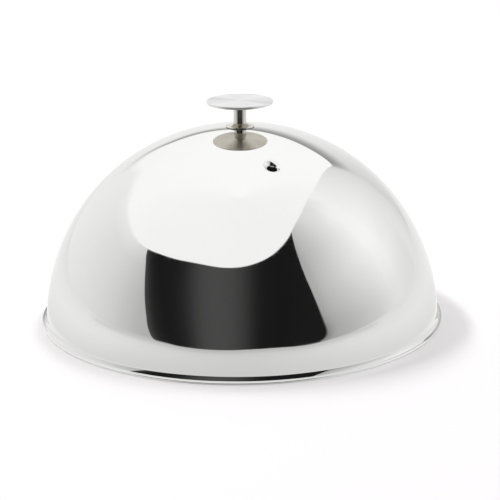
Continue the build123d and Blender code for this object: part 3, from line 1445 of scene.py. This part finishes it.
@dataclass(frozen=True)
class LightTent:
    """Soft tent round the set: a bright canopy, paler walls and a dim opening in front.

    Directions are azimuth (0 towards the front, + to the right) and elevation in degrees. The opening's two
    sides, right_blur and wall_lift are curves over elevation, left_spill is one over the angle from the
    opening's left side, and the other curves run over azimuth.
    """

    canopy_edge: Curve = Curve(
        (-180.0, 20.7),
        (-172.0, 19.0),
        (-167.0, 18.2),
        (-160.0, 15.0),
        (-153.5, 19.5),
        (-147.0, 27.5),
        (-135.6, 31.8),
        (-113.3, 35.6),
        (-91.1, 37.6),
        (-77.8, 39.4),
        (-66.5, 41.5),
        (-52.6, 43.45),
        (-39.3, 45.05),
        (-30.0, 45.55),
        (-13.4, 45.72),
        (-0.9, 46.45),
        (12.1, 48.25),
        (27.2, 51.35),
        (36.7, 53.85),
        (49.4, 57.0),
        (64.4, 60.2),
        (82.2, 61.1),
        (104.4, 59.3),
        (120.0, 54.4),
        (135.6, 45.6),
        (146.7, 34.4),
        (150.0, 29.8),
        (161.0, 28.0),
        (167.0, 26.4),
        (172.0, 24.6),
        (180.0, 20.7),
        most=90.0,
    )
    edge_blur: Curve = Curve(
        (-180.0, 0.5),
        (-166.0, 0.8),
        (-157.0, 4.0),
        (-145.0, 3.0),
        (-120.0, 1.8),
        (-95.0, 1.2),
        (-80.0, 0.35),
        (-60.0, 0.3),
        (180.0, 0.5),
        most=5.0,
    )
    edge_shade: Curve = Curve(
        (-180.0, 0.68),
        (-168.0, 0.65),
        (-164.0, 0.53),
        (-161.0, 0.28),
        (-156.0, 0.1),
        (-152.0, 0.0),
        (70.0, 0.0),
        (85.0, 0.05),
        (97.0, 0.13),
        (106.0, 0.1),
        (114.0, 0.0),
        (140.0, 0.0),
        (147.0, 0.03),
        (149.0, 0.3),
        (150.5, 0.5),
        (153.0, 0.57),
        (165.0, 0.62),
        (180.0, 0.68),
        most=1.0,
    )
    shade_width: Curve = Curve(
        (-180.0, 9.0),
        (-170.0, 7.0),
        (-155.0, 7.0),
        (70.0, 14.5),
        (115.0, 14.5),
        (140.0, 12.0),
        (170.0, 12.0),
        (180.0, 9.0),
        most=15.0,
    )
    opening_left: Curve = Curve(
        (0.0, 49.5),
        (0.8, 51.4),
        (4.2, 54.5),
        (11.5, 58.0),
        (18.7, 61.7),
        (25.7, 65.9),
        (32.4, 71.2),
        (38.6, 77.8),
        (60.0, 89.0),
        most=90.0,
    )
    opening_right: Curve = Curve(
        (0.0, 44.2),
        (0.8, 46.8),
        (2.5, 48.5),
        (4.6, 48.9),
        (9.0, 48.0),
        (17.8, 46.4),
        (26.8, 45.3),
        (36.0, 44.95),
        (45.0, 46.6),
        (53.5, 51.0),
        (60.0, 58.5),
        most=90.0,
    )
    left_blur: float = 0.35
    right_blur: Curve = Curve((0.0, 1.4), (5.0, 1.1), (12.0, 0.8), (30.0, 0.4), (60.0, 0.35), most=2.0)
    opening_light: Curve = Curve(
        (-90.0, 0.0157),
        (-38.0, 0.016),
        (-33.0, 0.0215),
        (-28.0, 0.038),
        (-23.0, 0.067),
        (-18.0, 0.086),
        (-13.0, 0.091),
        (-7.0, 0.085),
        (-2.0, 0.07),
        (3.0, 0.0445),
        (7.0, 0.0245),
        (11.0, 0.0157),
        (18.0, 0.0127),
        (35.0, 0.0148),
        (90.0, 0.015),
        most=0.1,
    )
    opening_lean: float = 0.0075
    left_spill: Curve = Curve(
        (0.0, 0.062),
        (2.6, 0.04),
        (4.0, 0.024),
        (6.0, 0.0125),
        (8.0, 0.007),
        (10.0, 0.004),
        (14.0, 0.0),
        most=0.1,
    )
    right_dim: float = 0.25
    dim_reach: Span = (7.0, 16.0)
    wall_light: Curve = Curve(
        (-180.0, 1.22),
        (-165.0, 1.2),
        (-150.0, 1.21),
        (-138.0, 1.165),
        (-125.0, 1.12),
        (-110.0, 1.055),
        (-95.0, 0.985),
        (-82.0, 0.88),
        (-70.0, 0.745),
        (-55.0, 0.61),
        (0.0, 0.5),
        (46.0, 0.58),
        (52.0, 0.68),
        (58.0, 0.77),
        (66.0, 0.87),
        (75.0, 0.99),
        (85.0, 1.11),
        (95.0, 1.235),
        (105.0, 1.315),
        (115.0, 1.26),
        (125.0, 1.195),
        (135.0, 1.12),
        (146.0, 1.02),
        (148.2, 0.985),
        (149.7, 0.935),
        (151.5, 0.95),
        (156.0, 1.005),
        (162.0, 1.085),
        (168.0, 1.15),
        (180.0, 1.22),
        most=1.5,
    )
    wall_lift: Curve = Curve(
        (0.0, 0.74),
        (6.0, 0.76),
        (10.0, 0.81),
        (15.0, 0.88),
        (21.0, 0.94),
        (28.0, 1.0),
        (34.0, 1.0),
        (44.0, 0.96),
        (60.0, 0.96),
        most=1.0,
    )
    lift_share: Curve = Curve(
        (-180.0, 0.0),
        (-60.0, 0.0),
        (0.0, 0.5),
        (50.0, 1.0),
        (80.0, 0.91),
        (95.0, 0.73),
        (110.0, 0.62),
        (120.0, 0.52),
        (130.0, 0.36),
        (140.0, 0.0),
        (180.0, 0.0),
        most=1.0,
    )
    canopy_light: Curve = Curve(
        (-180.0, 1.36),
        (-130.0, 1.34),
        (-100.0, 1.3),
        (-70.0, 1.28),
        (90.0, 1.29),
        (115.0, 1.31),
        (140.0, 1.35),
        (180.0, 1.36),
        most=1.5,
    )
    level: float = 0.875

    def world(self) -> bpy.types.World:
        """Light the world by direction, and show plain white to the camera.

        Returns:
            The world.
        """
        world = bpy.data.worlds.new("light_tent")
        world.use_nodes = True
        tree = world.node_tree
        wires = Wiring(tree)
        direction = wires.add("ShaderNodeTexCoord").outputs["Generated"]
        way = wires.add("ShaderNodeSeparateXYZ", {0: direction}).outputs
        forward = wires.math("MULTIPLY", way[1], -1.0)
        azimuth = wires.math("DEGREES", wires.math("ARCTAN2", way[0], forward))
        elevation = wires.math("DEGREES", wires.math("ARCSINE", way[2]))
        seen = wires.add("ShaderNodeLightPath").outputs["Is Camera Ray"]
        background = tree.nodes["Background"].inputs
        wires.feed(background["Color"], (1.0, 1.0, 1.0, 1.0))
        wires.feed(background["Strength"], wires.blend(seen, self.light(wires, azimuth, elevation), 1.0))
        return world

    def light(self, wires: Wiring, azimuth: Plug, elevation: Plug) -> bpy.types.NodeSocket:
        """Light from one direction: canopy over wall and opening, each with a soft edge.

        Args:
            wires: The wiring at work.
            azimuth: Azimuth in degrees.
            elevation: Elevation in degrees.

        Returns:
            The light's strength.
        """
        over_edge = wires.math("SUBTRACT", elevation, wires.curve(azimuth, self.canopy_edge))
        blurred = wires.math("DIVIDE", over_edge, wires.curve(azimuth, self.edge_blur))
        canopy = wires.ramp(blurred, -1.0, 1.0)
        left = wires.math("ADD", azimuth, wires.curve(elevation, self.opening_left))
        right = wires.math("SUBTRACT", wires.curve(elevation, self.opening_right), azimuth)
        softened = wires.math("DIVIDE", right, wires.curve(elevation, self.right_blur))
        within = wires.ramp(left, -self.left_blur, self.left_blur)
        opening = wires.math("MULTIPLY", within, wires.ramp(softened, -1.0, 1.0))
        lift = wires.curve(elevation, self.wall_lift)
        lift = wires.blend(wires.curve(azimuth, self.lift_share), 1.0, lift)
        deep = wires.math("DIVIDE", over_edge, wires.curve(azimuth, self.shade_width))
        edge_shade = wires.curve(azimuth, self.edge_shade)
        shade = wires.math("MULTIPLY", wires.ramp(deep, -1.0, 0.0), edge_shade)
        wall = wires.math("MULTIPLY", wires.curve(azimuth, self.wall_light), lift)
        wall = wires.math("MULTIPLY", wall, wires.math("SUBTRACT", 1.0, shade))
        near = wires.math("SUBTRACT", 1.0, wires.ramp(wires.math("ABSOLUTE", right), 0.0, self.dim_reach[0]))
        low = wires.math("SUBTRACT", 1.0, wires.ramp(elevation, 0.0, self.dim_reach[1]))
        dim = wires.math("MULTIPLY", wires.math("MULTIPLY", near, low), self.right_dim)
        wall = wires.math("MULTIPLY", wall, wires.math("SUBTRACT", 1.0, dim))
        upright = wires.math("SUBTRACT", 1.0, wires.math("MULTIPLY", elevation, self.opening_lean))
        gloom = wires.curve(wires.math("MULTIPLY", azimuth, upright), self.opening_light)
        spill = wires.curve(left, self.left_spill)
        below = wires.blend(opening, wall, wires.math("ADD", gloom, spill))
        tent = wires.blend(canopy, below, wires.curve(azimuth, self.canopy_light))
        return wires.math("MULTIPLY", tent, self.level)


@dataclass(frozen=True)
class Lamp:
    """Level oblong lamp that gives the floor a soft shadow and doesn't show in metal."""

    name: str
    place: Place
    size: Span
    power: float

    def hang(self) -> None:
        """Hang the lamp, facing straight down."""
        data = bpy.data.lights.new(self.name, "AREA")
        data.shape = "RECTANGLE"
        data.size, data.size_y = self.size
        data.energy = self.power
        lamp = bpy.data.objects.new(self.name, data)
        lamp.location = self.place
        lamp.visible_glossy = False
        lamp.visible_camera = False
        bpy.context.scene.collection.objects.link(lamp)


@dataclass(frozen=True)
class Studio:
    """Pale floor, light tent with a low lip in front, two soft lamps overhead and the camera.

    Lengths are in metres and angles in degrees. thrown_light, floor_fall and room_light are curves over
    reach, and the other curves run over azimuth.
    """

    tent: LightTent = field(default_factory=LightTent)
    floor_radius: float = 9.0
    floor_level: float = -0.0001
    floor_rings: int = 33
    floor_columns: int = 96
    floor_colour: Colour = (0.655, 0.638, 0.648)
    floor_mottle: Colour = (0.641, 0.624, 0.634)
    mottle_scale: float = 3.0
    floor_roughness: float = 0.9
    floor_glow: float = 0.056
    thrown_light: Curve = Curve(
        (0.15, 0.11),
        (0.1565, 0.105),
        (0.159, 0.075),
        (0.1615, 0.035),
        (0.165, 0.0),
        most=0.2,
    )
    thrown_turn: Curve = Curve(
        (-70.0, 0.0),
        (-28.0, 0.25),
        (-11.0, 0.7),
        (5.0, 1.0),
        (28.0, 1.0),
        (60.0, 0.2),
        (80.0, 0.0),
        most=1.0,
    )
    floor_in_metal: Curve = Curve(
        (-180.0, 1.28),
        (-135.0, 1.2),
        (-90.0, 1.14),
        (-60.0, 1.05),
        (-40.0, 0.96),
        (-15.0, 0.89),
        (0.0, 0.88),
        (15.0, 0.9),
        (40.0, 0.98),
        (60.0, 1.06),
        (90.0, 1.13),
        (135.0, 1.2),
        (180.0, 1.28),
        most=1.5,
    )
    floor_fall: Curve = Curve((0.15, 0.94), (0.26, 1.0), (0.45, 0.98), (0.8, 0.955), (1.5, 0.92), most=1.0)
    hem_light: Curve = Curve(
        (-40.0, 1.15),
        (-23.0, 1.1),
        (-13.0, 0.7),
        (9.0, 0.68),
        (20.0, 1.0),
        (28.0, 1.15),
        most=1.2,
    )
    hem_reach: Span = (0.155, 0.166)
    covered_reach: float = 0.1515
    covered_light: Span = (0.01, 0.7)
    front_span: Span = (-78.0, 68.0)
    front_soft: float = 8.0
    front_columns: int = 97
    room_span: Span = (-49.5, 44.5)
    room_soft: float = 0.9
    room_swing: float = 0.08
    room_level: float = 0.0005
    room_light: Curve = Curve((0.4, 0.015), (0.62, 0.02), (0.76, 0.075), (3.0, 0.08), most=0.1)
    lip_reach: float = 0.45
    lip_width: float = 0.005
    lip_line: Curve = Curve(
        (-75.0, 0.0262),
        (-39.0, 0.0247),
        (-27.0, 0.02),
        (-8.0, 0.0207),
        (4.0, 0.0238),
        (14.0, 0.0243),
        (30.0, 0.0197),
        (42.0, 0.022),
        (65.0, 0.0255),
        most=0.05,
    )
    lip_soft: Curve = Curve((-75.0, 0.012), (-45.0, 0.0115), (-40.5, 0.0055), (65.0, 0.0055), most=0.05)
    lip_height: float = 0.041
    lip_share: float = 0.98
    lip_dim: float = 0.2
    dim_span: Span = (-0.022, -0.001)
    lamps: tuple[Lamp, ...] = (
        Lamp("left_lamp", (-1.1, 0.77, 2.1), (0.28, 1.15), 41.0),
        Lamp("back_lamp", (0.55, 0.74, 2.1), (0.36, 0.84), 17.2),
    )
    camera_place: Place = (0.0, -1.2987, 0.4487)
    camera_yaw: float = 0.287
    camera_pitch: float = 17.054
    camera_roll: float = 0.593
    focal_pixels: float = 1778.3
    image_pixels: float = 500.0
    sensor: float = 36.0
    clip: Span = (0.01, 50.0)

    def floor(self) -> None:
        """Lay a round floor: (reach cos a, reach sin a) on rings that widen as the square."""
        reach = self.floor_radius * np.linspace(0.0, 1.0, self.floor_rings) ** 2 / MM
        outline = np.stack((reach, np.full_like(reach, self.floor_level / MM)), axis=1)
        up = np.tile((0.0, 1.0), (len(reach) - 1, 1))
        turning = Turning(Section(outline, up, up), self.floor_columns)
        floor = turning.skin().piece("pale_floor", Shading.EXACT)
        floor.data.materials.append(self.floor_material())

    def floor_material(self) -> bpy.types.Material:
        """Mix matt paper, clear from below, that polished metal sees as bright as the tent lights each side.

        Before the brim it carries the light that the polished shell throws back on it.

        Returns:
            The material.
        """
        material = bpy.data.materials.new("pale_paper")
        material.use_nodes = True
        tree = material.node_tree
        wires = Wiring(tree)
        place = wires.add("ShaderNodeTexCoord").outputs["Object"]
        mottle = wires.add("ShaderNodeTexNoise", {"Vector": place, "Scale": self.mottle_scale}).outputs[0]
        shader = tree.nodes["Principled BSDF"]
        wires.feed(shader.inputs["Base Color"], wires.tint(mottle, self.floor_colour, self.floor_mottle))
        shader.inputs["Roughness"].default_value = self.floor_roughness
        shader.inputs["Specular IOR Level"].default_value = 0.0
        path = wires.add("ShaderNodeLightPath").outputs
        seen = wires.math("MAXIMUM", path["Is Camera Ray"], path["Is Transmission Ray"])
        azimuth, reach, _ = self.round_place(wires, place)
        near, before = wires.curve(reach, self.thrown_light), wires.curve(azimuth, self.thrown_turn)
        thrown = wires.math("MULTIPLY", near, before)
        bright = wires.math("MULTIPLY", seen, wires.math("ADD", thrown, self.floor_glow))
        glow = wires.add("ShaderNodeEmission", {"Strength": bright}).outputs[0]
        lit = wires.add("ShaderNodeAddShader", {0: shader.outputs[0], 1: glow}).outputs[0]
        light = self.mirrored_light(wires, azimuth, reach, path)
        mirrored = wires.add("ShaderNodeEmission", {"Strength": light}).outputs[0]
        paper = wires.add("ShaderNodeMixShader", {0: path["Is Glossy Ray"], 1: lit, 2: mirrored}).outputs[0]
        clear = wires.add("ShaderNodeBsdfTransparent").outputs[0]
        back = wires.add("ShaderNodeNewGeometry").outputs["Backfacing"]
        faced = wires.add("ShaderNodeMixShader", {0: back, 1: paper, 2: clear}).outputs[0]
        wires.feed(tree.nodes["Material Output"].inputs["Surface"], faced)
        return material

    @staticmethod
    def round_place(wires: Wiring, place: Plug) -> tuple[Plug, Plug, Plug]:
        """Tell how a place lies round the dome.

        Args:
            wires: The wiring at work.
            place: The place.

        Returns:
            Its azimuth from the front in degrees, its reach from the origin and its height.
        """
        parts = wires.add("ShaderNodeSeparateXYZ", {0: place}).outputs
        forward = wires.math("MULTIPLY", parts[1], -1.0)
        azimuth = wires.math("DEGREES", wires.math("ARCTAN2", parts[0], forward))
        reach = wires.add("ShaderNodeVectorMath", {0: place}, operation="LENGTH").outputs["Value"]
        return azimuth, reach, parts[2]

    def mirrored_light(self, wires: Wiring, azimuth: Plug, reach: Plug, path: Any) -> bpy.types.NodeSocket:
        """Light the floor by azimuth and reach, and keep it dark under the dome unless seen from below.

        Args:
            wires: The floor material's wiring.
            azimuth: Azimuth of the floor's point.
            reach: Its reach.
            path: Outputs of the light path.

        Returns:
            The light that polished metal sees.
        """
        around, fall = wires.curve(azimuth, self.floor_in_metal), wires.curve(reach, self.floor_fall)
        light = wires.math("MULTIPLY", around, fall)
        hem = wires.blend(wires.ramp(reach, *self.hem_reach), wires.curve(azimuth, self.hem_light), 1.0)
        open_light = wires.math("MULTIPLY", wires.math("MULTIPLY", light, hem), self.tent.level)
        through = wires.math("MINIMUM", path["Transparent Depth"], 1.0)
        under_light = wires.scaled(through, *self.covered_light)
        covered = wires.math("LESS_THAN", reach, self.covered_reach)
        return wires.blend(covered, open_light, under_light)

    def tent_front(self) -> None:
        """Stand the tent's low front lip, with the dim room behind it, where only polished metal sees them.

        The outline of (reach, height) is carried over the front as (reach sin a, -reach cos a, height).
        """
        first, last = self.front_span[0] - self.front_soft, self.front_span[1] + self.front_soft
        turn = np.radians(np.linspace(first, last, self.front_columns))
        ground, rear = self.room_level, self.lip_reach + self.lip_width
        reach = np.array((self.lip_reach, self.lip_reach, rear, rear, self.floor_radius))[:, None] / MM
        height = np.array((0.0, self.lip_height, self.lip_height, ground, ground))[:, None] / MM
        grid = np.stack(np.broadcast_arrays(reach * np.sin(turn), -reach * np.cos(turn), height), axis=-1)
        ids = np.arange(grid[..., 0].size).reshape(grid.shape[:2])
        blank = np.zeros((len(reach) - 1, len(turn), 3))
        skin = Skin.over(grid.reshape(-1, 3), ids, blank, blank, turn, reach[:, 0])
        front = skin.piece("tent_front", Shading.CRISP)
        front.data.materials.append(self.front_material())
        front.visible_camera = front.visible_diffuse = front.visible_shadow = False
        front.visible_transmission = front.visible_volume_scatter = False

    def front_material(self) -> bpy.types.Material:
        """Mix a lip as pale as the floor, fading at its top, and behind it a room as light as the horizon.

        In the opening the room is dim and grows lighter with reach. From the dome's front a floor point is
        seen at about its azimuth times (1 + swing / reach).

        Returns:
            The material.
        """
        material = bpy.data.materials.new("tent_front_cloth")
        material.use_nodes = True
        tree = material.node_tree
        wires = Wiring(tree)
        place = wires.add("ShaderNodeTexCoord").outputs["Object"]
        azimuth, reach, height = self.round_place(wires, place)
        over = wires.math("SUBTRACT", height, wires.curve(azimuth, self.lip_line))
        above = wires.ramp(wires.math("DIVIDE", over, wires.curve(azimuth, self.lip_soft)), -1.0, 1.0)
        bright = self.lip_share * self.tent.level
        dimmed = wires.scaled(wires.ramp(over, *self.dim_span), bright, (1.0 - self.lip_dim) * bright)
        cloth = wires.math("MULTIPLY", wires.curve(azimuth, self.floor_in_metal), dimmed)
        swing = wires.math("ADD", wires.math("DIVIDE", self.room_swing, reach), 1.0)
        seen = wires.math("MULTIPLY", azimuth, swing)
        dim_room = wires.curve(reach, self.room_light)
        opening = self.between(wires, seen, self.room_span, self.room_soft)
        room = wires.blend(opening, self.tent.light(wires, seen, 0.0), dim_room)
        past = wires.ramp(reach, self.lip_reach + 0.5 * self.lip_width, self.lip_reach + self.lip_width)
        behind = wires.math("MULTIPLY", past, wires.math("LESS_THAN", height, 2.0 * self.room_level))
        ends = self.between(wires, azimuth, self.front_span, self.front_soft)
        lip = wires.math("MULTIPLY", ends, wires.math("SUBTRACT", 1.0, above))
        shown = wires.blend(behind, lip, ends)
        glow = wires.add("ShaderNodeEmission", {"Strength": wires.blend(behind, cloth, room)}).outputs[0]
        clear = wires.add("ShaderNodeBsdfTransparent").outputs[0]
        front = wires.add("ShaderNodeMixShader", {0: shown, 1: clear, 2: glow}).outputs[0]
        wires.feed(tree.nodes["Material Output"].inputs["Surface"], front)
        return material

    @staticmethod
    def between(wires: Wiring, value: Plug, span: Span, soft: float) -> bpy.types.NodeSocket:
        """Tell how far a value is inside a span with soft ends.

        Args:
            wires: The wiring at work.
            value: The value to look at.
            span: First and last value of the span.
            soft: Half the width of each end.

        Returns:
            1 inside and 0 outside.
        """
        first, last = span
        started = wires.ramp(value, first - soft, first + soft)
        ended = wires.ramp(value, last - soft, last + soft)
        return wires.math("MULTIPLY", started, wires.math("SUBTRACT", 1.0, ended))

    def camera(self) -> None:
        """Stand the camera: yaw turns it about the upright, pitch tips it down, roll turns it in its view."""
        yaw, pitch = math.radians(self.camera_yaw), math.radians(self.camera_pitch)
        roll = math.radians(self.camera_roll)
        ahead = Vector((math.sin(yaw) * math.cos(pitch), math.cos(yaw) * math.cos(pitch), -math.sin(pitch)))
        right = Vector((math.cos(yaw), -math.sin(yaw), 0.0))
        upward = right.cross(ahead)
        x_axis = right * math.cos(roll) - upward * math.sin(roll)
        y_axis = right * math.sin(roll) + upward * math.cos(roll)
        data = bpy.data.cameras.new("front_camera")
        data.sensor_width = self.sensor
        data.lens = self.focal_pixels * self.sensor / self.image_pixels
        data.clip_start, data.clip_end = self.clip
        camera = bpy.data.objects.new("front_camera", data)
        turned = Matrix((x_axis, y_axis, -ahead)).transposed().to_4x4()
        camera.matrix_world = Matrix.Translation(self.camera_place) @ turned
        bpy.context.scene.collection.objects.link(camera)
        bpy.context.scene.camera = camera

    def make(self) -> None:
        """Set up the floor, the light and the camera."""
        scene = bpy.context.scene
        scene.view_settings.view_transform = "Standard"
        scene.world = self.tent.world()
        self.floor()
        self.tent_front()
        for lamp in self.lamps:
            lamp.hang()
        self.camera()
        LOG.info("studio set up")


def main() -> None:
    """Build the dome, its knob and its fasteners in order, then the studio."""
    logging.basicConfig(level=logging.INFO, format="%(name)s: %(message)s")
    shell = DomeShell()
    knob = Knob(shell.land_z())
    finishes = Finishes(shell, knob)
    shell.make(finishes)
    knob.make(finishes)
    Fastening(shell.land_z() - shell.sheet).make(finishes)
    Studio().make()


if __name__ == "__main__":
    main()
